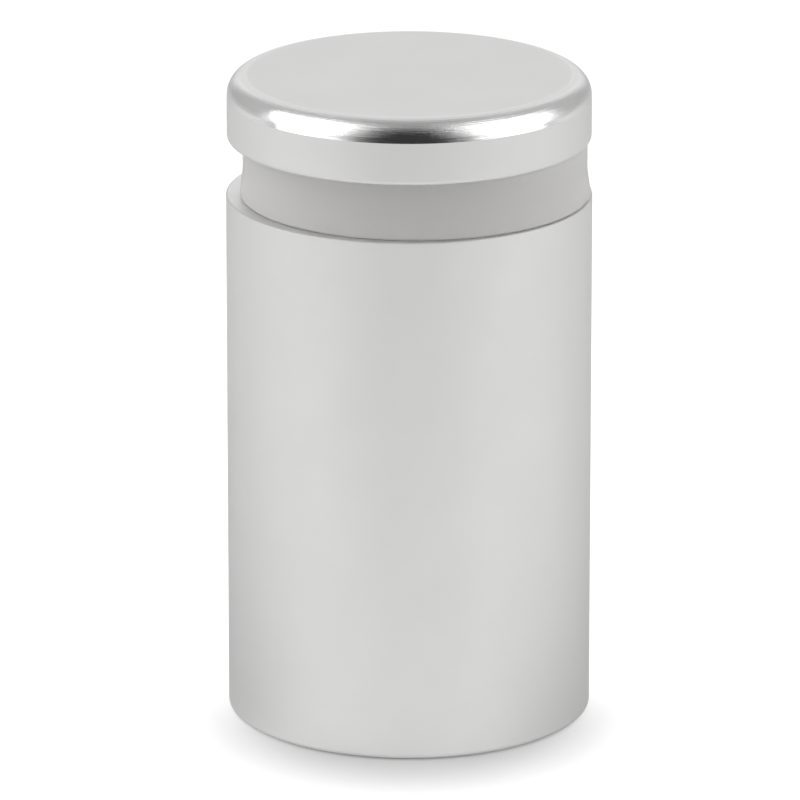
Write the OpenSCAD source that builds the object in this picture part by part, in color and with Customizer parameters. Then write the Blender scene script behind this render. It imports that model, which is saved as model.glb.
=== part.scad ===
// Glass panel standoff: a round spacer that holds a panel away from a wall.
// The barrel is fixed to the wall by a stud in its base. The cap carries a stud of its own
// that screws down into the barrel and clamps the panel between two soft washers.
// Millimetres, +Z up, origin at the centre of the barrel's base.

/* [Barrel] */
// Outside diameter of the barrel
barrel_d = 25; // [20:0.5:40]
// Length of the barrel, from its base to its top face
barrel_length = 36.6; // [34.5:0.1:80]
// Edge break round the top face, left almost sharp
barrel_top_edge = 0.1; // [0.05:0.05:0.5]
// Chamfer round the base
barrel_base_edge = 0.22; // [0.1:0.02:1]

/* [Cap] */
// Thickness of the cap
cap_thickness = 4.4; // [4:0.1:8]
// How far the cap's side stands inside the barrel's side
cap_inset = 0.07; // [0:0.01:0.5]
// Radius of the polished rim round the top face
cap_rim_radius = 1.4; // [0.4:0.1:3]
// Radius of the edge break round the underside
cap_under_radius = 0.25; // [0.05:0.05:0.6]

/* [Washers] */
// Thickness of each washer
washer_thickness = 2; // [0.5:0.1:3]
// How far the lower washer's edge stands inside the barrel's side
lower_washer_inset = 0.54; // [0.2:0.02:2]
// How far the upper washer's edge stands inside the barrel's side
upper_washer_inset = 0.74; // [0.2:0.02:2]
// How far the washers lie to one side on the stud, in the loose fit of their holes
washer_shift = 0.4; // [0:0.05:0.6]
// Radius of the rounded edges of a washer
washer_edge_radius = 0.15; // [0.05:0.05:0.2]

/* [Thread] */
// Outside diameter of the stud's thread, which is modelled plain
thread_d = 8; // [5:1:10]
// Pitch of the thread, which sets the lead-in chamfers and the lift in one turn
thread_pitch = 1.25; // [0.75:0.25:1.5]
// Length of the stud
stud_length = 25; // [18:1:25]
// Length of the stud that is fixed in the cap
stud_in_cap = 3; // [2:0.1:3.2]
// Width across the flats of the socket in the stud's lower end
socket_width = 4; // [2:0.5:4]
// Depth of that socket
socket_depth = 4; // [2:0.5:6]
// Depth of the tapped hole in the base, without its drill point
base_hole_depth = 10; // [6:0.5:10]

/* [Clearances] */
// Radial play between a thread and its tapped hole
thread_play = 0.05; // [0.02:0.01:0.1]
// Smallest gap between the stud and a washer's hole
washer_play = 0.3; // [0.1:0.05:0.5]
// Free depth of the barrel's hole below the stud
end_play = 0.8; // [0.4:0.1:1.5]

/* [Hidden] */
$fn = 96;

barrel_r = barrel_d / 2;
cap_r = barrel_r - cap_inset;
thread_r = thread_d / 2;
hole_r = thread_r + thread_play;
thread_depth = 0.6134 * thread_pitch;
washer_hole_r = thread_r + washer_shift + washer_play;
drill_point_angle = 118;

// Levels, from the base upwards
lower_washer_z = barrel_length;
upper_washer_z = lower_washer_z + washer_thickness;
cap_z = upper_washer_z + washer_thickness;
stud_top_z = cap_z + stud_in_cap;
stud_z = stud_top_z - stud_length;
top_hole_depth = barrel_length - stud_z + end_play;

aluminium = [0.83, 0.83, 0.82];
steel = [0.62, 0.63, 0.65];
frosted = [0.76, 0.76, 0.75, 0.7];

// A disc on the XY plane with its own edge radius above and below
module rounded_disc(radius, height, top_radius, under_radius) {
    rotate_extrude() union() {
        square([radius - max(top_radius, under_radius), height]);
        translate([0, under_radius]) square([radius, height - top_radius - under_radius]);
        square([radius - under_radius, height / 2]);
        translate([radius - under_radius, under_radius]) circle(r = under_radius);
        translate([0, height / 2]) square([radius - top_radius, height / 2]);
        translate([radius - top_radius, height - top_radius]) circle(r = top_radius);
    }
}

// The space of a tapped hole: its mouth is at the origin and it runs down, with a lead-in chamfer.
// point is the height of the cone that a drill leaves, or 0 for a hole with a flat end.
module tapped_hole(depth, point) {
    mouth = thread_depth;
    overrun = 1;
    rotate_extrude() polygon([
        [0, overrun],
        [hole_r + mouth + overrun, overrun],
        [hole_r, -mouth],
        [hole_r, -depth],
        [0, -depth - point]
    ]);
}

function drill_point(radius) = radius / tan(drill_point_angle / 2);

// Turned bar with a chamfered base, a crisp top and a tapped hole in each end
module barrel() {
    color(aluminium) difference() {
        rotate_extrude() polygon([
            [0, 0],
            [barrel_r - barrel_base_edge, 0],
            [barrel_r, barrel_base_edge],
            [barrel_r, barrel_length - barrel_top_edge],
            [barrel_r - barrel_top_edge, barrel_length],
            [0, barrel_length]
        ]);
        translate([0, 0, barrel_length]) tapped_hole(top_hole_depth, drill_point(hole_r));
        rotate([180, 0, 0]) tapped_hole(base_hole_depth, drill_point(hole_r));
    }
}

// Turned disc with a broad polished rim above and a flat-ended tapped hole for its stud below
module cap() {
    color(aluminium) translate([0, 0, cap_z]) difference() {
        rounded_disc(cap_r, cap_thickness, cap_rim_radius, cap_under_radius);
        rotate([180, 0, 0]) tapped_hole(stud_in_cap, 0);
    }
}

// Headless stud with chamfered ends and a hexagon socket in its lower end
module threaded_stud() {
    color(steel) translate([0, 0, stud_z]) difference() {
        rotate_extrude() polygon([
            [0, 0],
            [thread_r - thread_depth, 0],
            [thread_r, thread_depth],
            [thread_r, stud_length - thread_depth],
            [thread_r - thread_depth, stud_length],
            [0, stud_length]
        ]);
        translate([0, 0, -1]) cylinder(d = socket_width / cos(30), h = socket_depth + 1, $fn = 6);
        translate([0, 0, socket_depth]) cylinder(r1 = socket_width / 2, r2 = 0, h = drill_point(socket_width / 2));
    }
}

// Soft washer that lies a little to one side, with its hole clear of the stud
module washer(inset) {
    color(frosted) translate([washer_shift, 0, 0]) difference() {
        rounded_disc(barrel_r - inset, washer_thickness, washer_edge_radius, washer_edge_radius);
        translate([0, 0, -1]) cylinder(r = washer_hole_r, h = washer_thickness + 2);
    }
}

module lower_washer() {
    translate([0, 0, lower_washer_z]) washer(lower_washer_inset);
}

module upper_washer() {
    translate([0, 0, upper_washer_z]) washer(upper_washer_inset);
}

barrel();
cap();
threaded_stud();
lower_washer();
upper_washer();
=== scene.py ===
import math

import bmesh
import bpy
from bpy.props import FloatProperty, FloatVectorProperty, IntProperty, PointerProperty
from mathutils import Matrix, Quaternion, Vector


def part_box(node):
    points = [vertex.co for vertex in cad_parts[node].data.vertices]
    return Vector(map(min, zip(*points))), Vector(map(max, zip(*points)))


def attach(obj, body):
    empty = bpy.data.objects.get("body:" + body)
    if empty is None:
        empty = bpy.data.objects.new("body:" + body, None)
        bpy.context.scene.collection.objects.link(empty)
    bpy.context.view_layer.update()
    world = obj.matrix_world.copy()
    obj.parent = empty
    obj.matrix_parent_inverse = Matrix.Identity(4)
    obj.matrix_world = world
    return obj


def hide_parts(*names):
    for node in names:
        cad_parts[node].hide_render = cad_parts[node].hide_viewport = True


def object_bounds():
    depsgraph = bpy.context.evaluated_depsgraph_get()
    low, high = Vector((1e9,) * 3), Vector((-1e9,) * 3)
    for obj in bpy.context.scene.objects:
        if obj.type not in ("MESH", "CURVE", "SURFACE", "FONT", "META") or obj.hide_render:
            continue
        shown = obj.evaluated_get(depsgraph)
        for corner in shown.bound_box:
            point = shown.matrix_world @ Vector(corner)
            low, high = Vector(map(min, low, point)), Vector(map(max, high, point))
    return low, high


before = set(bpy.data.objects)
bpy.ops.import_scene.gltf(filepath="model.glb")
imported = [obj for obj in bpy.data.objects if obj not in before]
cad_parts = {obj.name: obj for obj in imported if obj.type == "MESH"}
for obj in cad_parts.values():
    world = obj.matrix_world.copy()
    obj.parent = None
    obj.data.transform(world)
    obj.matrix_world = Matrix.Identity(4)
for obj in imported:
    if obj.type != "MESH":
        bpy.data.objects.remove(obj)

bl_info = {
    "name": "Glass Panel Standoff",
    "version": (1, 0, 0),
    "blender": (4, 5, 0),
    "location": "View3D > Sidebar > Standoff",
    "description": "Dresses a turned aluminium standoff with its threads, finishes and studio",
    "category": "Add Mesh",
}

CAD_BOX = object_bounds()
BARREL_LOW, BARREL_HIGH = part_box("barrel")
CAP_LOW, CAP_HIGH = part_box("cap")
STUD_LOW, STUD_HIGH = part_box("threaded_stud")

# Two points nearer than this are one point.
WELD = 1e-6


# ---------------------------------------------------------------- sizes and finishes


class StandoffSizes(bpy.types.PropertyGroup):
    """Edges, bores and thread of the turned pieces"""

    turn_steps: IntProperty(
        name="Steps round", description="Faces round each turned piece", default=288, min=32, max=512
    )
    barrel_top_edge: FloatProperty(
        name="Barrel top edge",
        description="Edge break round the barrel's top face",
        default=0.0001,
        unit="LENGTH",
    )
    barrel_base_edge: FloatProperty(
        name="Barrel base edge",
        description="Radius of the edge round the barrel's base",
        default=0.0003,
        unit="LENGTH",
    )
    rim_radius: FloatProperty(
        name="Cap rim radius",
        description="Radius of the polished rim round the cap's face",
        default=0.0014,
        unit="LENGTH",
    )
    rim_segments: IntProperty(
        name="Rim segments", description="Facets across the polished rim", default=28, min=4, max=64
    )
    rim_foot: FloatProperty(
        name="Cap rim foot",
        description="How far the polish runs down the wall below the rim",
        default=0.0001,
        unit="LENGTH",
    )
    rim_lean: FloatProperty(
        name="Cap rim lean",
        description="How far the polish leans in at its foot",
        default=math.radians(7),
        subtype="ANGLE",
        unit="ROTATION",
    )
    rim_lean_height: FloatProperty(
        name="Cap rim lean height",
        description="How far up the rim that lean fades out",
        default=0.00017,
        unit="LENGTH",
    )
    under_radius: FloatProperty(
        name="Cap under edge",
        description="Radius of the edge round the cap's underside",
        default=0.00025,
        unit="LENGTH",
    )
    washer_edge: FloatProperty(
        name="Washer edge",
        description="Radius of the edges that the washers press on the metal",
        default=0.00015,
        unit="LENGTH",
    )
    washer_step: FloatProperty(
        name="Washer step",
        description="How far the lower washer's wall runs in, up to the upper washer's",
        default=0.0002,
        unit="LENGTH",
    )
    washer_gap: FloatProperty(
        name="Washer gap",
        description="Air left between a washer and the metal, so that light gets in",
        default=0.00001,
        unit="LENGTH",
    )
    washer_hole_radius: FloatProperty(
        name="Washer hole radius",
        description="Radius of the hole in each washer",
        default=0.0047,
        unit="LENGTH",
    )


class StandoffThread(bpy.types.PropertyGroup):
    """The stud's thread and the tapped holes that fit it"""

    pitch: FloatProperty(
        name="Pitch", description="Rise of the thread in one turn", default=0.00125, unit="LENGTH"
    )
    depth_share: FloatProperty(
        name="Depth share", description="Depth of the thread as a share of its pitch", default=0.6134
    )
    play: FloatProperty(
        name="Play",
        description="Radial play between the stud and its tapped hole",
        default=0.00005,
        unit="LENGTH",
    )
    turn_steps: IntProperty(
        name="Steps a turn",
        description="Faces in one turn of the thread",
        default=96,
        min=24,
        max=192,
    )
    flank_steps: IntProperty(
        name="Flank steps", description="Faces up each flank of the thread", default=4, min=1, max=8
    )
    stud_hole_depth: FloatProperty(
        name="Stud hole depth",
        description="Depth of the barrel's upper hole, to its drill point",
        default=0.0188,
        unit="LENGTH",
    )
    base_hole_depth: FloatProperty(
        name="Base hole depth",
        description="Depth of the hole in the base, to its drill point",
        default=0.010,
        unit="LENGTH",
    )
    cap_hole_depth: FloatProperty(
        name="Cap hole depth",
        description="Depth of the flat hole under the cap",
        default=0.003,
        unit="LENGTH",
    )
    socket_width: FloatProperty(
        name="Socket width",
        description="Width across the flats of the stud's socket",
        default=0.004,
        unit="LENGTH",
    )
    socket_depth: FloatProperty(
        name="Socket depth", description="Depth of the stud's socket", default=0.004, unit="LENGTH"
    )
    drill_angle: FloatProperty(
        name="Drill point angle",
        description="Angle of the cone that the drill leaves",
        default=math.radians(118),
        subtype="ANGLE",
        unit="ROTATION",
    )


class StandoffFinish(bpy.types.PropertyGroup):
    """Colours and gloss of the finishes"""

    satin_colour: FloatVectorProperty(
        name="Satin aluminium",
        description="Colour of the satin anodised faces",
        default=(0.775, 0.775, 0.77),
        subtype="COLOR",
    )
    # Painted light: the cap's face is the same satin as the rest, with its colour painted lighter
    # for the light that falls on the top from above.
    lit_face_colour: FloatVectorProperty(
        name="Cap face",
        description="Colour of the finer satin of the cap's face",
        default=(0.94, 0.94, 0.935),
        subtype="COLOR",
    )
    satin_roughness: FloatProperty(
        name="Satin roughness", description="Roughness of the satin anodised faces", default=0.78
    )
    satin_edge: FloatProperty(
        name="Satin edge",
        description="Share of its shine that the satin keeps at a grazing angle",
        default=0.25,
    )
    rim_edge: FloatProperty(
        name="Rim edge",
        description="Share of its shine that the rim keeps at a grazing angle",
        default=0.75,
    )
    rim_colour: FloatVectorProperty(
        name="Polished rim",
        description="Colour of the bright turned rim",
        default=(0.88, 0.88, 0.875),
        subtype="COLOR",
    )
    rim_roughness: FloatProperty(
        name="Rim roughness", description="Roughness of the bright turned rim", default=0.10
    )
    turned_colour: FloatVectorProperty(
        name="Turned ends",
        description="Colour of the barrel's turned ends",
        default=(0.78, 0.78, 0.775),
        subtype="COLOR",
    )
    turned_roughness: FloatProperty(
        name="Turned end roughness",
        description="Roughness of the barrel's turned ends",
        default=0.45,
    )
    stud_colour: FloatVectorProperty(
        name="Stud steel",
        description="Colour of the stud",
        default=(0.45, 0.45, 0.46),
        subtype="COLOR",
    )
    stud_roughness: FloatProperty(
        name="Stud roughness", description="Roughness of the stud's steel", default=0.35
    )
    washer_colour: FloatVectorProperty(
        name="Frosted plastic",
        description="Colour of the frosted washers",
        default=(0.98, 0.972, 0.955),
        subtype="COLOR",
    )
    washer_clearness: FloatProperty(
        name="Washer clearness",
        description="Share of the light that the washers let through",
        default=0.43,
    )
    washer_roughness: FloatProperty(
        name="Washer roughness", description="Roughness of the washers' frosted skin", default=0.7
    )


class StandoffStudio(bpy.types.PropertyGroup):
    """Camera and light"""

    lens: FloatProperty(name="Lens", description="Focal length in millimetres", default=384.5)
    view_distance: FloatProperty(
        name="View distance",
        description="From the camera to the point it looks at",
        default=0.5875,
        unit="LENGTH",
    )
    view_pitch: FloatProperty(
        name="View pitch",
        description="How far the camera looks down",
        default=math.radians(17.36),
        subtype="ANGLE",
        unit="ROTATION",
    )
    aim_height: FloatProperty(
        name="Aim height",
        description="Height of the point that the camera looks at",
        default=0.02175,
        unit="LENGTH",
    )
    aim_side: FloatProperty(
        name="Aim side",
        description="How far the camera stands to the left of the axis",
        default=0.00063,
        unit="LENGTH",
    )
    backdrop_level: FloatProperty(
        name="Backdrop level", description="Light of the backdrop", default=0.6
    )
    backdrop_white: FloatProperty(
        name="Backdrop white", description="White that metal and plastic see low behind", default=1.0
    )
    backdrop_middle: FloatProperty(
        name="Backdrop middle",
        description="How far up the white's middle is",
        default=math.asin(0.3),
        subtype="ANGLE",
        unit="ROTATION",
    )
    backdrop_side: FloatProperty(
        name="Backdrop side",
        description="How far to each side of straight behind the white reaches",
        default=math.radians(30),
        subtype="ANGLE",
        unit="ROTATION",
    )
    backdrop_rise: FloatProperty(
        name="Backdrop rise",
        description="How far up from its middle the white reaches",
        default=math.radians(34),
        subtype="ANGLE",
        unit="ROTATION",
    )
    corner_level: FloatProperty(
        name="Corner level",
        description="Light of the corners between the backdrop and the softboxes",
        default=0.52,
    )
    side_level: FloatProperty(
        name="Side level", description="Light of the walls beside the gap", default=0.9
    )
    gap_level: FloatProperty(
        name="Gap level", description="Light of the gap in front, round the camera", default=0.04
    )
    high_gap_level: FloatProperty(
        name="High gap level", description="Light of the gap, high up", default=0.252
    )
    ceiling_level: FloatProperty(
        name="Ceiling level", description="Light straight overhead", default=0.36
    )
    left_level: FloatProperty(
        name="Left softbox level", description="Light of the left softbox", default=1.04
    )
    left_rise: FloatProperty(
        name="Left softbox rise",
        description="How far up the left softbox stands",
        default=math.radians(29),
        subtype="ANGLE",
        unit="ROTATION",
    )
    left_height: FloatProperty(
        name="Left softbox height",
        description="Height of the left softbox",
        default=0.62,
        unit="LENGTH",
    )
    right_level: FloatProperty(
        name="Right softbox level", description="Light of the right softbox", default=1.02
    )
    right_rise: FloatProperty(
        name="Right softbox rise",
        description="How far up the right softbox stands",
        default=math.radians(25),
        subtype="ANGLE",
        unit="ROTATION",
    )
    right_height: FloatProperty(
        name="Right softbox height",
        description="Height of the right softbox",
        default=0.54,
        unit="LENGTH",
    )
    softbox_turn: FloatProperty(
        name="Softbox turn",
        description="How far round from the camera each softbox stands",
        default=math.radians(73),
        subtype="ANGLE",
        unit="ROTATION",
    )
    softbox_roll: FloatProperty(
        name="Softbox roll",
        description="How far each softbox is rolled about the way it faces",
        default=math.radians(-18),
        subtype="ANGLE",
        unit="ROTATION",
    )
    softbox_width: FloatProperty(
        name="Softbox width", description="Width of each softbox", default=0.48, unit="LENGTH"
    )
    softbox_distance: FloatProperty(
        name="Softbox distance",
        description="From each softbox to the standoff's middle",
        default=0.5,
        unit="LENGTH",
    )
    floor_size: FloatProperty(
        name="Floor size", description="Length of each side of the floor", default=4.0, unit="LENGTH"
    )
    floor_front: FloatProperty(
        name="Floor front",
        description="From the standoff's axis to the floor's front edge",
        default=0.15,
        unit="LENGTH",
    )
    floor_seat: FloatProperty(
        name="Floor seat",
        description="How far the floor reaches in under the barrel's edge",
        default=0.0003,
        unit="LENGTH",
    )
    floor_contact: FloatProperty(
        name="Floor contact",
        description="Width of the dark line where the foot meets the floor in front",
        default=0.0004,
        unit="LENGTH",
    )
    floor_contact_share: FloatProperty(
        name="Floor contact share", description="Light that is left in that dark line", default=0.5
    )
    floor_colour: FloatVectorProperty(
        name="Floor",
        description="Colour of the floor",
        default=(0.66, 0.66, 0.66),
        subtype="COLOR",
    )
    floor_lift: FloatProperty(
        name="Floor lift",
        description="White that the open floor adds for the camera",
        default=0.65,
    )
    floor_shine: FloatProperty(
        name="Floor shine",
        description="White that the front floor adds for metal and plastic",
        default=0.75,
    )


# ---------------------------------------------------------------- shapes


def turned(bm, corners, steps):
    """Turns an outline of (radius, height) corners a full turn about the Z axis."""
    verts = [bm.verts.new((radius, 0, height)) for radius, height in corners]
    edges = [bm.edges.new(pair) for pair in zip(verts, verts[1:])]
    bmesh.ops.spin(
        bm,
        geom=verts + edges,
        cent=(0, 0, 0),
        axis=(0, 0, 1),
        angle=math.tau,
        steps=steps,
        use_merge=True,
    )
    bmesh.ops.remove_doubles(bm, verts=bm.verts, dist=WELD)


def run_in(radius, step, low, high, count=8):
    """A wall's outline between two heights. It runs in smoothly by a step on its way up."""
    corners = []
    for k in range(count + 1):
        share = k / count
        inward = step * share * share * (3 - 2 * share)
        corners.append((radius - inward, low + (high - low) * share))
    return corners


def ring_edges(bm, radius, height):
    """The edges of the circle of that radius at that height."""

    def on_ring(vert):
        return (
            abs(vert.co.xy.length - radius) < 10 * WELD and abs(vert.co.z - height) < 10 * WELD
        )

    return [edge for edge in bm.edges if all(on_ring(vert) for vert in edge.verts)]


def round_ring(bm, radius, height, size, segments, material=-1):
    """Rounds, or with one segment chamfers, the edge of a turned piece. Its borders stay crisp."""
    made = bmesh.ops.bevel(
        bm,
        geom=ring_edges(bm, radius, height),
        offset=size,
        segments=segments,
        profile=0.5,
        affect="EDGES",
        material=-1,
    )
    faces = set(made["faces"])
    for face in faces:
        if material >= 0:
            face.material_index = material
        for edge in face.edges:
            if any(other not in faces for other in edge.link_faces):
                edge.smooth = False


def finish_mesh(bm, name, materials, crease=math.radians(28)):
    """Closes a mesh's shading and makes it an object at the origin."""
    bmesh.ops.recalc_face_normals(bm, faces=bm.faces)
    for face in bm.faces:
        face.smooth = True
    for edge in bm.edges:
        if len(edge.link_faces) == 2 and edge.calc_face_angle(0.0) > crease:
            edge.smooth = False
    mesh = bpy.data.meshes.new(name)
    bm.to_mesh(mesh)
    bm.free()
    for material in materials:
        mesh.materials.append(material)
    piece = bpy.data.objects.new(name, mesh)
    bpy.context.scene.collection.objects.link(piece)
    return piece


def thread_profile(root, crest, pitch, flank_steps):
    """One pitch of a thread as (radius, rise) points, from the middle of one groove to the next.

    Its crest is an eighth of the pitch wide, and its flanks stand at 30 degrees.
    """
    crest_half = pitch / 16
    flank = abs(crest - root) * math.tan(math.radians(30))
    up = [
        (root + (crest - root) * k / flank_steps, -crest_half - flank * (1 - k / flank_steps))
        for k in range(flank_steps + 1)
    ]
    down = [(radius, -rise) for radius, rise in reversed(up)]
    return [(root, -pitch / 2)] + up + down + [(root, pitch / 2)]


def helical_wall(bm, thread, root, crest, low, high, limit):
    """A right-hand thread between two heights. limit(radius, height) trims it to its chamfers.

    Crests stand at whole pitches above z = 0 on the +X side, so the stud and its hole are in mesh.
    """
    pitch = thread.pitch
    # It starts and ends two turns outside, and is then cut to length.
    first = math.floor(low / pitch) - 2
    turns = math.ceil((high - low) / pitch) + 4
    profile = thread_profile(root, crest, pitch, thread.flank_steps)
    verts = [bm.verts.new((radius, 0, first * pitch + rise)) for radius, rise in profile]
    edges = [bm.edges.new(pair) for pair in zip(verts, verts[1:])]
    bmesh.ops.spin(
        bm,
        geom=verts + edges,
        cent=(0, 0, 0),
        axis=(0, 0, 1),
        dvec=(0, 0, pitch / thread.turn_steps),
        angle=math.tau,
        steps=thread.turn_steps,
    )
    one_turn = bm.verts[:] + bm.edges[:] + bm.faces[:]
    for turn in range(1, turns):
        copy = bmesh.ops.duplicate(bm, geom=one_turn)
        copied = [item for item in copy["geom"] if isinstance(item, bmesh.types.BMVert)]
        bmesh.ops.translate(bm, verts=copied, vec=(0, 0, turn * pitch))
    bmesh.ops.remove_doubles(bm, verts=bm.verts, dist=3 * WELD)
    for height, side in ((low, -1), (high, 1)):
        bmesh.ops.bisect_plane(
            bm,
            geom=bm.verts[:] + bm.edges[:] + bm.faces[:],
            dist=WELD / 10,
            plane_co=(0, 0, height),
            plane_no=(0, 0, side),
            clear_outer=True,
        )
    for vert in bm.verts:
        radius = vert.co.xy.length
        scale = limit(radius, vert.co.z) / radius
        vert.co.x *= scale
        vert.co.y *= scale


def open_edges(bm, height):
    """The open edges that lie at one height."""
    return [
        edge
        for edge in bm.edges
        if edge.is_boundary and all(abs(vert.co.z - height) < WELD for vert in edge.verts)
    ]


def join(bm, other):
    """Adds the mesh of another bmesh to this one and frees the other."""
    mesh = bpy.data.meshes.new("joined")
    other.to_mesh(mesh)
    other.free()
    bm.from_mesh(mesh)
    bpy.data.meshes.remove(mesh)


def tapped_hole(thread, mouth, depth, down):
    """A tapped hole's wall, lead-in chamfer and drill point, that run down or up from its mouth."""
    tooth = thread.depth_share * thread.pitch
    major = (STUD_HIGH.x - STUD_LOW.x) / 2 + thread.play
    minor = major - tooth
    end = mouth - depth if down else mouth + depth

    def limit(radius, height):
        widest = minor + abs(height - end)
        narrowest = major + tooth - abs(height - mouth)
        return max(min(radius, widest), narrowest)

    hole = bmesh.new()
    helical_wall(hole, thread, minor, major, min(mouth, end), max(mouth, end), limit)
    floor = bmesh.ops.contextual_create(hole, geom=open_edges(hole, end))["faces"]
    tip = minor / math.tan(thread.drill_angle / 2)
    made = bmesh.ops.poke(hole, faces=floor)
    for vert in made["verts"]:
        vert.co = (0, 0, end - tip if down else end + tip)
    return hole


# ---------------------------------------------------------------- materials

# Where nearly all of a noise lies.
NOISE_RANGE = (0.3, 0.7)


class Nodes:
    """A node tree under construction."""

    def __init__(self, tree):
        self.nodes, self.links = tree.nodes, tree.links

    def node(self, kind, inputs=None, **settings):
        """Adds a node, sets its settings and its inputs, and links the inputs that are sockets."""
        made = self.nodes.new(kind)
        for key, value in settings.items():
            setattr(made, key, value)
        for key, value in (inputs or {}).items():
            self.feed(made.inputs[key], value)
        return made

    def feed(self, socket, value):
        if isinstance(value, bpy.types.NodeSocket):
            self.links.new(value, socket)
        else:
            socket.default_value = value

    def math(self, operation, first, second=0.0):
        made = self.node("ShaderNodeMath", {0: first, 1: second}, operation=operation)
        return made.outputs[0]

    def product(self, first, *factors):
        for factor in factors:
            first = self.math("MULTIPLY", first, factor)
        return first

    def length(self, vector):
        made = self.node("ShaderNodeVectorMath", {0: vector}, operation="LENGTH")
        return made.outputs["Value"]

    def parts(self, vector):
        return self.node("ShaderNodeSeparateXYZ", {"Vector": vector}).outputs

    def pair(self, first, second):
        """A vector of two values and a zero."""
        return self.node("ShaderNodeCombineXYZ", {"X": first, "Y": second}).outputs["Vector"]

    def ramp(self, value, low, high, to_low, to_high):
        """Maps a value smoothly from one range to another."""
        made = self.node(
            "ShaderNodeMapRange",
            {"Value": value, "From Min": low, "From Max": high, "To Min": to_low, "To Max": to_high},
            interpolation_type="SMOOTHSTEP",
        )
        return made.outputs["Result"]

    def blend(self, share, first, second):
        made = self.node("ShaderNodeMix", {0: share, 2: first, 3: second}, data_type="FLOAT")
        return made.outputs[0]

    def rays(self):
        """Whether the camera looks straight at this, and whether metal or plastic mirrors it."""
        rays = self.node("ShaderNodeLightPath").outputs
        mirrored = self.math("MAXIMUM", rays["Is Glossy Ray"], rays["Is Transmission Ray"])
        return rays["Is Camera Ray"], mirrored


class Recipe(Nodes):
    """A node material under construction. Its noise scales are in cells a metre."""

    def __init__(self, name):
        self.material = bpy.data.materials.new(name)
        self.material.use_nodes = True
        super().__init__(self.material.node_tree)
        self.shader = self.nodes["Principled BSDF"]
        self.output = self.nodes["Material Output"]

    def place(self):
        """Object coordinates."""
        return self.node("ShaderNodeTexCoord").outputs["Object"]

    def place_round(self):
        """The distance from the Z axis, and the parts of the object coordinates."""
        parts = self.parts(self.place())
        return self.length(self.pair(parts["X"], parts["Y"])), parts

    def noise(self, scale, detail=2.0, stretch=(1, 1, 1)):
        inputs = {"Vector": self.place(), "Scale": stretch}
        point = self.node("ShaderNodeMapping", inputs).outputs["Vector"]
        return self.noise_at(point, scale, detail)

    def noise_at(self, point, scale=1.0, detail=2.0, roughness=0.5):
        inputs = {"Vector": point, "Scale": scale, "Detail": detail, "Roughness": roughness}
        return self.node("ShaderNodeTexNoise", inputs).outputs["Fac"]

    def uneven(self, noise, value, amount):
        """A value that a noise makes a little lower and higher."""
        low, high = NOISE_RANGE
        made = self.node(
            "ShaderNodeMapRange",
            {
                "Value": noise,
                "From Min": low,
                "From Max": high,
                "To Min": value - amount,
                "To Max": value + amount,
            },
        )
        return made.outputs["Result"]

    def mix_colour(self, share, first, second):
        made = self.node("ShaderNodeMix", {0: share, 6: first, 7: second}, data_type="RGBA")
        return made.outputs[2]

    def bump(self, height, distance, strength=1.0, normal=None):
        inputs = {"Height": height, "Distance": distance, "Strength": strength}
        if normal is not None:
            inputs["Normal"] = normal
        return self.node("ShaderNodeBump", inputs).outputs["Normal"]

    def tint(self, colour, noise, amount):
        """A colour that a noise makes a little lighter and darker."""
        darker = [c * (1 - amount) for c in colour] + [1.0]
        lighter = [min(1.0, c * (1 + amount)) for c in colour] + [1.0]
        return self.mix_colour(noise, darker, lighter)

    def set(self, **inputs):
        for key, value in inputs.items():
            self.feed(self.shader.inputs[key.replace("_", " ")], value)
        return self.material


def satin_aluminium(finish, name, colour):
    """Clear anodised aluminium with a fine blasted grain."""
    recipe = Recipe(name)
    grain = recipe.noise(scale=6500, detail=3)
    clouds = recipe.noise(scale=260, detail=2)
    return recipe.set(
        Base_Color=recipe.tint(colour, clouds, amount=0.012),
        Metallic=1.0,
        Specular_Tint=[finish.satin_edge] * 3 + [1.0],
        Roughness=recipe.uneven(clouds, finish.satin_roughness, amount=0.02),
        Normal=recipe.bump(grain, distance=0.000004, strength=0.35),
    )


def leaning_foot(recipe, sizes, up):
    """A bump that leans the wall in below the rim, and fades out a little way up it.

    Its height is in metres: a slope below the rim, and a parabola where it fades out.
    """
    reach = sizes.rim_lean_height
    low = recipe.math("MINIMUM", up, reach)
    bend = recipe.math("POWER", recipe.math("MAXIMUM", low, 0.0), 2.0)
    bend = recipe.math("DIVIDE", bend, 2 * reach)
    height = recipe.product(recipe.math("SUBTRACT", bend, low), math.tan(sizes.rim_lean))
    return recipe.bump(height, distance=1.0)


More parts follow.
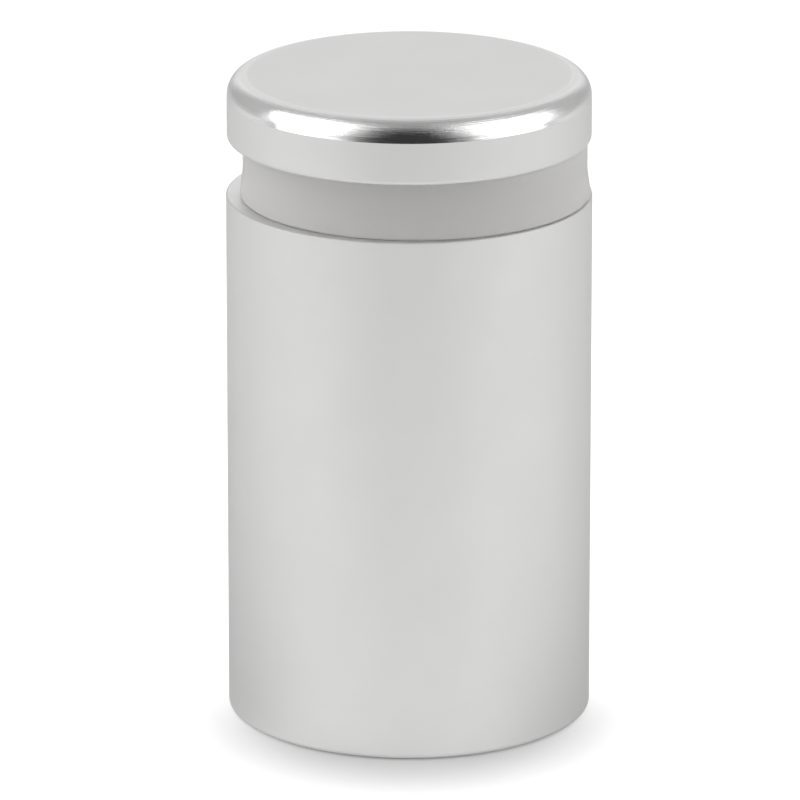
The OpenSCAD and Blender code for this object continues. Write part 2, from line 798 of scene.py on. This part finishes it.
def polished_rim(finish, sizes):
    """Bright turned aluminium, with the tool's fine lines round it. It fades into the satin face."""
    recipe = Recipe("polished_rim")
    radius, parts = recipe.place_round()
    out = recipe.math("SUBTRACT", radius, CAP_HIGH.x - sizes.rim_radius)
    up = recipe.math("SUBTRACT", parts["Z"], CAP_HIGH.z - sizes.rim_radius)
    turn = recipe.math("ARCTAN2", up, out)
    # High on the rim the polish fades into the satin of the face, whose colour is painted lighter
    # for the light that falls on the top from above.
    fade_from, fade_to = math.radians(58), math.radians(90)
    to_face = recipe.ramp(turn, fade_from, fade_to, 0.0, 1.0)

    # Each groove wanders a little on its way round: cells a metre along it, and a radian across.
    wander, grooves = 240.0, 22.0
    way = recipe.node(
        "ShaderNodeCombineXYZ",
        {
            "X": recipe.product(parts["X"], wander),
            "Y": recipe.product(parts["Y"], wander),
            "Z": recipe.product(turn, grooves),
        },
    ).outputs["Vector"]
    lines = recipe.noise_at(way, detail=4.0, roughness=0.6)
    # The lines are fainter at the rim's foot.
    depth = recipe.ramp(up, low=0.0001, high=0.0006, to_low=0.45, to_high=0.9)
    waves = recipe.noise(scale=170, detail=1)
    bright = recipe.tint(finish.rim_colour, recipe.noise(scale=180), amount=0.01)
    wall = leaning_foot(recipe, sizes, up)
    wall = recipe.bump(waves, distance=0.00003, strength=0.5, normal=wall)
    return recipe.set(
        Base_Color=recipe.mix_colour(to_face, bright, [*finish.lit_face_colour, 1.0]),
        Metallic=1.0,
        Specular_Tint=[finish.rim_edge] * 3 + [1.0],
        Roughness=recipe.blend(to_face, finish.rim_roughness, finish.satin_roughness),
        Normal=recipe.bump(lines, distance=0.00002, strength=depth, normal=wall),
    )


def turned_aluminium(finish):
    """Plain turned aluminium of the barrel's ends, with the tool's rings."""
    recipe = Recipe("turned_end")
    radius = recipe.place_round()[0]
    rings_a_metre = 9000.0
    lines = recipe.noise_at(recipe.pair(recipe.product(radius, rings_a_metre), 0.0))
    clouds = recipe.noise(scale=400)
    return recipe.set(
        Base_Color=recipe.tint(finish.turned_colour, clouds, amount=0.015),
        Metallic=1.0,
        Roughness=recipe.uneven(clouds, finish.turned_roughness, amount=0.03),
        Normal=recipe.bump(lines, distance=0.000005, strength=0.5),
    )


def stud_steel(finish):
    """Plain rolled-thread steel."""
    recipe = Recipe("rolled_steel")
    clouds = recipe.noise(scale=900, detail=3)
    scratches = recipe.noise(scale=2500, detail=2, stretch=(1, 1, 6))
    return recipe.set(
        Base_Color=recipe.tint(finish.stud_colour, clouds, amount=0.08),
        Metallic=1.0,
        Roughness=recipe.uneven(clouds, finish.stud_roughness, amount=0.07),
        Normal=recipe.bump(scratches, distance=0.000006, strength=0.4),
    )


def frosted_plastic(finish):
    """Soft translucent plastic with a frosted skin."""
    recipe = Recipe("frosted_plastic")
    skin = recipe.noise(scale=2600, detail=3)
    clouds = recipe.noise(scale=420, detail=2)
    return recipe.set(
        Base_Color=recipe.tint(finish.washer_colour, clouds, amount=0.01),
        Roughness=recipe.uneven(clouds, finish.washer_roughness, amount=0.05),
        IOR=1.4,
        Transmission_Weight=finish.washer_clearness,
        Normal=recipe.bump(skin, distance=0.00001, strength=0.4),
    )


# ---------------------------------------------------------------- pieces


class StandoffOperator:
    """What the operators share: undo, and how a finished piece is handed over."""

    bl_options = {"REGISTER", "UNDO"}

    def dress(self, piece, body, slot, *nodes):
        """Hands a finished piece to its body in place of its plain solids."""
        if not piece.data.polygons:
            raise RuntimeError(f"{piece.name} has no faces")
        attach(piece, body)
        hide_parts(*nodes)


class STANDOFF_OT_barrel(StandoffOperator, bpy.types.Operator):
    """Turn the barrel, with a tapped hole in each end"""

    bl_idname = "standoff.add_barrel"
    bl_label = "Barrel"

    def execute(self, context):
        sizes, thread = context.scene.standoff_sizes, context.scene.standoff_thread
        radius, top, base = BARREL_HIGH.x, BARREL_HIGH.z, BARREL_LOW.z
        bm = bmesh.new()
        # The end faces reach in to half the radius, and are filled up to the holes below.
        inner = 0.5 * radius
        turned(bm, [(inner, top), (radius, top), (radius, base), (inner, base)], sizes.turn_steps)
        round_ring(bm, radius, top, sizes.barrel_top_edge, segments=3)
        round_ring(bm, radius, base, sizes.barrel_base_edge, segments=5)
        join(bm, tapped_hole(thread, top, thread.stud_hole_depth, down=True))
        join(bm, tapped_hole(thread, base, thread.base_hole_depth, down=False))
        for height in (top, base):
            bmesh.ops.triangle_fill(bm, edges=open_edges(bm, height), use_beauty=True)
        for face in bm.faces:
            heights = [vert.co.z for vert in face.verts]
            if all(min(abs(height - top), abs(height - base)) < WELD for height in heights):
                face.material_index = 1
        finish = context.scene.standoff_finish
        satin = satin_aluminium(finish, "satin_barrel", finish.satin_colour)
        piece = finish_mesh(bm, "turned_barrel", [satin, turned_aluminium(finish)])
        self.dress(piece, "barrel", "satin_aluminium", "barrel")
        return {"FINISHED"}


class STANDOFF_OT_cap(StandoffOperator, bpy.types.Operator):
    """Turn the cap, with a polished rim round a satin face"""

    bl_idname = "standoff.add_cap"
    bl_label = "Cap"

    def execute(self, context):
        sizes, thread = context.scene.standoff_sizes, context.scene.standoff_thread
        finish = context.scene.standoff_finish
        radius, top, base = CAP_HIGH.x, CAP_HIGH.z, CAP_LOW.z
        bore = STUD_HIGH.x + thread.play
        lead = thread.depth_share * thread.pitch
        # The polish runs a little way down the wall, to its foot.
        foot = top - sizes.rim_radius - sizes.rim_foot
        bm = bmesh.new()
        turned(
            bm,
            [
                (0, base + thread.cap_hole_depth),
                (bore, base + thread.cap_hole_depth),
                (bore, base + lead),
                (bore + lead, base),
                (radius, base),
                (radius, foot),
                (radius, top),
                (0, top),
            ],
            sizes.turn_steps,
        )
        round_ring(bm, radius, top, sizes.rim_radius, sizes.rim_segments, material=1)
        round_ring(bm, radius, base, sizes.under_radius, segments=4)
        for face in bm.faces:
            middle = face.calc_center_median()
            if middle.z > top - WELD:
                face.material_index = 2
            elif middle.z > foot and middle.xy.length > bore:
                face.material_index = 1
        satin = satin_aluminium(finish, "satin_cap", finish.satin_colour)
        bright = polished_rim(finish, sizes)
        # The face is the same satin again, with its colour painted lighter for the light that falls
        # on the top from above.
        fine = satin_aluminium(finish, "painted_lit_face", finish.lit_face_colour)
        piece = finish_mesh(bm, "turned_cap", [satin, bright, fine])
        self.dress(piece, "cap", "cap_aluminium", "cap")
        return {"FINISHED"}


class STANDOFF_OT_stud(StandoffOperator, bpy.types.Operator):
    """Thread the stud and sink its hexagon socket"""

    bl_idname = "standoff.add_stud"
    bl_label = "Stud"

    def execute(self, context):
        thread = context.scene.standoff_thread
        crest, low, high = STUD_HIGH.x, STUD_LOW.z, STUD_HIGH.z
        root = crest - thread.depth_share * thread.pitch

        def limit(radius, height):
            return min(radius, root + min(height - low, high - height))

        bm = bmesh.new()
        helical_wall(bm, thread, root, crest, low, high, limit)
        bmesh.ops.contextual_create(bm, geom=open_edges(bm, high))
        rim = open_edges(bm, low)
        across = thread.socket_width / math.cos(math.radians(30)) / 2
        made = bmesh.ops.create_circle(bm, segments=6, radius=across, cap_ends=False)
        bmesh.ops.translate(bm, verts=made["verts"], vec=(0, 0, low))
        hexagon = list(dict.fromkeys(edge for vert in made["verts"] for edge in vert.link_edges))
        bmesh.ops.triangle_fill(bm, edges=rim + hexagon, use_beauty=True)
        walls = bmesh.ops.extrude_edge_only(bm, edges=hexagon)["geom"]
        floor_verts = [item for item in walls if isinstance(item, bmesh.types.BMVert)]
        floor_edges = [
            edge
            for edge in walls
            if isinstance(edge, bmesh.types.BMEdge)
            and all(vert in floor_verts for vert in edge.verts)
        ]
        bmesh.ops.translate(bm, verts=floor_verts, vec=(0, 0, thread.socket_depth))
        floor = bmesh.ops.contextual_create(bm, geom=floor_edges)["faces"]
        tip = thread.socket_width / 2 / math.tan(thread.drill_angle / 2)
        for vert in bmesh.ops.poke(bm, faces=floor)["verts"]:
            vert.co = (0, 0, low + thread.socket_depth + tip)
        piece = finish_mesh(bm, "stud_with_thread", [stud_steel(context.scene.standoff_finish)])
        self.dress(piece, "cap", "stud_steel", "threaded_stud")
        return {"FINISHED"}


class STANDOFF_OT_washers(StandoffOperator, bpy.types.Operator):
    """Mould the two frosted washers"""

    bl_idname = "standoff.add_washers"
    bl_label = "Washers"

    def execute(self, context):
        sizes = context.scene.standoff_sizes
        plastic = frosted_plastic(context.scene.standoff_finish)
        for node, body in (("lower_washer", "barrel"), ("upper_washer", "upper_washer")):
            low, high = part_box(node)
            lower = body == "barrel"
            base = low.z + (sizes.washer_gap if lower else WELD)
            top = high.z - (WELD if lower else sizes.washer_gap)
            radius, hole = (high.x - low.x) / 2, sizes.washer_hole_radius
            # The lower washer's wall runs in, to meet the upper one's.
            wall = run_in(radius, sizes.washer_step if lower else 0.0, base, top)
            bm = bmesh.new()
            turned(bm, [(hole, base), *wall, (hole, top), (hole, base)], sizes.turn_steps)
            round_ring(bm, radius, base if lower else top, sizes.washer_edge, segments=4)
            bmesh.ops.translate(bm, verts=bm.verts, vec=((low.x + high.x) / 2, 0, 0))
            piece = finish_mesh(bm, f"frosted_{node}", [plastic])
            self.dress(piece, body, "frosted_washer", node)
        return {"FINISHED"}


# ---------------------------------------------------------------- studio

# Soft patches of the floor, in barrel radii: how far each ellipse is moved, how much it is
# narrowed, and between which of its half widths it fades.
SHADOW_SHIFT, SHADOW_NARROWING, SHADOW_EDGES = (0, 0.425), (0.765, 0.783), (0.27, 1.09)
SIDE_SHIFT, SIDE_EDGES = (-1.7, 0.6), (0.35, 1.3)

# Where the floor's shine for metal and plastic changes, in barrel radii from the axis.
SHINE_SHIFT = 0.15
FRONT_EDGES = (-1.8, 0.8)
BEHIND_EDGES = (3, 6)
ACROSS_EDGES = (1.5, 4)
ACROSS_SHARE = 0.35

# Where the tent's light changes: degrees up, or round from straight in front.
HIGH_GAP_EDGES = (30, 70)
CEILING_EDGES = (58, 80)
LOW_GAP_EDGES = (-3, 3)
LOW_GAP_SIDES = (26, 50)

# The share of the backdrop's white that is even, from its middle out.
EVEN_SHARE = 0.6

# The camera's sensor in millimetres, and the nearest and farthest that it sees in metres.
SENSOR_WIDTH = 36.0
CAMERA_RANGE = (0.01, 10.0)


def white_floor(studio):
    """A white floor that keeps the standoff's shadow and is clear from below."""
    recipe = Recipe("white_floor")
    camera, mirrored = recipe.rays()
    place = recipe.place()
    parts = recipe.parts(place)
    reach = CAD_BOX[1].x

    def fade(distance, edges, start, end):
        """Runs from one level to another between two distances, in barrel radii."""
        return recipe.ramp(distance, edges[0] * reach, edges[1] * reach, start, end)

    def patch(point, shift, narrowing, edges, inside=0.0):
        """A soft ellipse, from its inside level to 1 outside it."""
        scale = [part / reach for part in narrowing]
        inputs = {"Vector": point, "Location": (*shift, 0), "Scale": (*scale, 0)}
        spot = recipe.node("ShaderNodeMapping", inputs).outputs["Vector"]
        return recipe.ramp(recipe.length(spot), *edges, inside, 1.0)

    # The camera sees the shadow, a soft ellipse that reaches forward from the foot.
    open_floor = patch(place, SHADOW_SHIFT, SHADOW_NARROWING, SHADOW_EDGES)
    lift = recipe.product(camera, open_floor, studio.floor_lift)
    # Where the foot meets the floor in front, little light gets in.
    contact = studio.floor_contact / reach
    lit = patch(place, (0, contact), (1, 1), (1.0 - contact, 1.0), studio.floor_contact_share)
    # Metal and plastic see white in front of the foot, less of it at the sides, and far behind it.
    across = recipe.math("ABSOLUTE", recipe.math("ADD", parts["X"], SHINE_SHIFT * reach))
    sides = patch(recipe.pair(across, parts["Y"]), SIDE_SHIFT, (1, 1), SIDE_EDGES)
    front = recipe.product(fade(parts["Y"], FRONT_EDGES, 1.0, 0.0), sides)
    behind = recipe.product(
        fade(across, ACROSS_EDGES, 1.0, ACROSS_SHARE), fade(parts["Y"], BEHIND_EDGES, 0.0, 1.0)
    )
    white = recipe.math("MAXIMUM", front, behind)
    shine = recipe.product(mirrored, white, studio.floor_shine, lit)
    dark = [studio.floor_contact_share * part for part in studio.floor_colour]
    recipe.set(
        Base_Color=recipe.mix_colour(lit, [*dark, 1.0], [*studio.floor_colour, 1.0]),
        Roughness=0.9,
        Specular_IOR_Level=0.0,
        Emission_Color=(1.0, 1.0, 1.0, 1.0),
        Emission_Strength=recipe.math("ADD", lift, shine),
    )
    back = recipe.node("ShaderNodeNewGeometry").outputs["Backfacing"]
    clear = recipe.node("ShaderNodeBsdfTransparent").outputs[0]
    mix = recipe.node(
        "ShaderNodeMixShader",
        {0: recipe.product(back, camera), 1: recipe.shader.outputs[0], 2: clear},
    )
    recipe.feed(recipe.output.inputs["Surface"], mix.outputs[0])
    return recipe.material


def light_tent(studio):
    """A pale tent with an unlit gap in front, round the camera. The camera itself sees white."""
    world = bpy.data.worlds.new("light_tent")
    world.use_nodes = True
    tent = Nodes(world.node_tree)
    tent.nodes.clear()
    camera, mirrored = tent.rays()

    def fade(angle, edges, start, end):
        """Runs from one level to another between two angles, in degrees."""
        return tent.ramp(angle, math.radians(edges[0]), math.radians(edges[1]), start, end)

    parts = tent.parts(tent.node("ShaderNodeTexCoord").outputs["Generated"])
    ahead = tent.product(parts["Y"], -1.0)
    azimuth = tent.math("ABSOLUTE", tent.math("ARCTAN2", parts["X"], ahead))
    elevation = tent.math("ARCSINE", parts["Z"])

    # The walls: degrees round from straight in front, and their light there.
    walls = tent.node("ShaderNodeValToRGB", {"Fac": tent.math("DIVIDE", azimuth, math.pi)})
    walls.color_ramp.interpolation = "EASE"
    stops = walls.color_ramp.elements
    for degrees, level in (
        (12, 0.0),
        (50, studio.side_level),
        (100, studio.side_level),
        (112, studio.corner_level),
        (145, studio.corner_level),
        (158, studio.backdrop_level),
    ):
        stops.new(degrees / 180).color = (level, level, level, 1.0)
    stops.remove(stops[0])
    stops.remove(stops[-1])

    gap = fade(elevation, HIGH_GAP_EDGES, studio.gap_level, studio.high_gap_level)
    level = tent.math("MAXIMUM", walls.outputs["Color"], gap)
    ceiling = fade(elevation, CEILING_EDGES, 0.0, 1.0)
    level = tent.blend(ceiling, level, studio.ceiling_level)

    # Metal and plastic see a soft white patch low behind the standoff.
    across = tent.math("DIVIDE", parts["X"], math.sin(studio.backdrop_side))
    above = tent.math("SUBTRACT", parts["Z"], math.sin(studio.backdrop_middle))
    above = tent.math("DIVIDE", above, math.sin(studio.backdrop_rise))
    patch = tent.ramp(tent.length(tent.pair(across, above)), EVEN_SHARE, 1.0, 1.0, 0.0)
    behind = tent.math("GREATER_THAN", parts["Y"], 0.0)
    level = tent.blend(tent.product(mirrored, patch, behind), level, studio.backdrop_white)

    # Low in front the gap is wider.
    low = tent.product(
        fade(elevation, LOW_GAP_EDGES, 1.0, 0.0), fade(azimuth, LOW_GAP_SIDES, 1.0, 0.0)
    )
    level = tent.blend(low, level, studio.gap_level)
    light = tent.node(
        "ShaderNodeBackground",
        {"Color": (1, 1, 1, 1), "Strength": tent.blend(camera, level, 1.0)},
    )
    tent.node("ShaderNodeOutputWorld", {"Surface": light.outputs[0]})
    return world


def softbox(name, studio, side, rise, height, level, aim):
    """A panel of even light that faces the standoff. Side is -1 on its left, 1 on its right."""
    turn = side * studio.softbox_turn
    towards = Vector(
        (math.sin(turn) * math.cos(rise), -math.cos(turn) * math.cos(rise), math.sin(rise))
    )
    light = bpy.data.lights.new(name, "AREA")
    light.shape = "RECTANGLE"
    light.size, light.size_y = studio.softbox_width, height
    light.energy = level * math.pi * studio.softbox_width * height
    lamp = bpy.data.objects.new(name, light)
    lamp.location = aim + towards * studio.softbox_distance
    roll = Quaternion((0, 0, 1), side * studio.softbox_roll)
    lamp.rotation_euler = (towards.to_track_quat("Z", "Y") @ roll).to_euler()
    lamp.visible_camera = False
    bpy.context.scene.collection.objects.link(lamp)


class STANDOFF_OT_stage(StandoffOperator, bpy.types.Operator):
    """Lay the floor, hang the light and set up the camera"""

    bl_idname = "standoff.add_stage"
    bl_label = "Stage"

    def execute(self, context):
        studio, scene = context.scene.standoff_studio, context.scene
        low, high = CAD_BOX
        aim = Vector(((low.x + high.x) / 2 - studio.aim_side, 0, studio.aim_height))
        camera = bpy.data.objects.new("camera", bpy.data.cameras.new("camera"))
        camera.data.lens = studio.lens
        camera.data.sensor_width = SENSOR_WIDTH
        camera.data.clip_start, camera.data.clip_end = CAMERA_RANGE
        back = Vector((0, -math.cos(studio.view_pitch), math.sin(studio.view_pitch)))
        camera.location = aim + back * studio.view_distance
        camera.rotation_euler = (math.pi / 2 - studio.view_pitch, 0, 0)
        scene.collection.objects.link(camera)
        scene.camera = camera
        scene.view_settings.view_transform = "Standard"

        # The floor is open under the base, so that the base is seen from below in plain light.
        bm = bmesh.new()
        bmesh.ops.create_grid(bm, x_segments=1, y_segments=1, size=studio.floor_size / 2)
        bmesh.ops.delete(bm, geom=bm.faces[:], context="FACES_ONLY")
        far = studio.floor_size / 2 - studio.floor_front
        bmesh.ops.translate(bm, verts=bm.verts, vec=(0, far, 0))
        bmesh.ops.create_circle(bm, segments=96, radius=high.x - studio.floor_seat, cap_ends=False)
        bmesh.ops.triangle_fill(bm, edges=bm.edges, use_beauty=True, normal=(0, 0, 1))
        bmesh.ops.translate(bm, verts=bm.verts, vec=(0, 0, low.z))
        floor = finish_mesh(bm, "floor", [white_floor(studio)])

        scene.world = light_tent(studio)
        middle = (low + high) / 2
        for name, side, rise, height, level in (
            ("left_softbox", -1, studio.left_rise, studio.left_height, studio.left_level),
            ("right_softbox", 1, studio.right_rise, studio.right_height, studio.right_level),
        ):
            softbox(name, studio, side, rise, height, level, middle)
        return {"FINISHED"}


# ---------------------------------------------------------------- panel and registration


class STANDOFF_PT_panel(bpy.types.Panel):
    """Lists the standoff's pieces and their sizes and finishes"""

    bl_label = "Glass Panel Standoff"
    bl_idname = "STANDOFF_PT_panel"
    bl_space_type = "VIEW_3D"
    bl_region_type = "UI"
    bl_category = "Standoff"

    def draw(self, context):
        for operator in OPERATORS:
            self.layout.operator(operator.bl_idname)
        for name in SETTINGS:
            group = getattr(context.scene, name)
            box = self.layout.box()
            for key in group.bl_rna.properties.keys():
                if key not in ("rna_type", "name"):
                    box.prop(group, key)


SETTINGS = {
    "standoff_sizes": StandoffSizes,
    "standoff_thread": StandoffThread,
    "standoff_finish": StandoffFinish,
    "standoff_studio": StandoffStudio,
}
OPERATORS = (
    STANDOFF_OT_stage,
    STANDOFF_OT_barrel,
    STANDOFF_OT_cap,
    STANDOFF_OT_stud,
    STANDOFF_OT_washers,
)
CLASSES = (*SETTINGS.values(), *OPERATORS, STANDOFF_PT_panel)


def register():
    for item in CLASSES:
        bpy.utils.register_class(item)
    for name, group in SETTINGS.items():
        setattr(bpy.types.Scene, name, PointerProperty(type=group))


def unregister():
    for name in SETTINGS:
        delattr(bpy.types.Scene, name)
    for item in reversed(CLASSES):
        bpy.utils.unregister_class(item)


def main():
    register()
    bpy.ops.standoff.add_stage()
    bpy.ops.standoff.add_barrel()
    bpy.ops.standoff.add_cap()
    bpy.ops.standoff.add_stud()
    bpy.ops.standoff.add_washers()


if __name__ == "__main__":
    main()
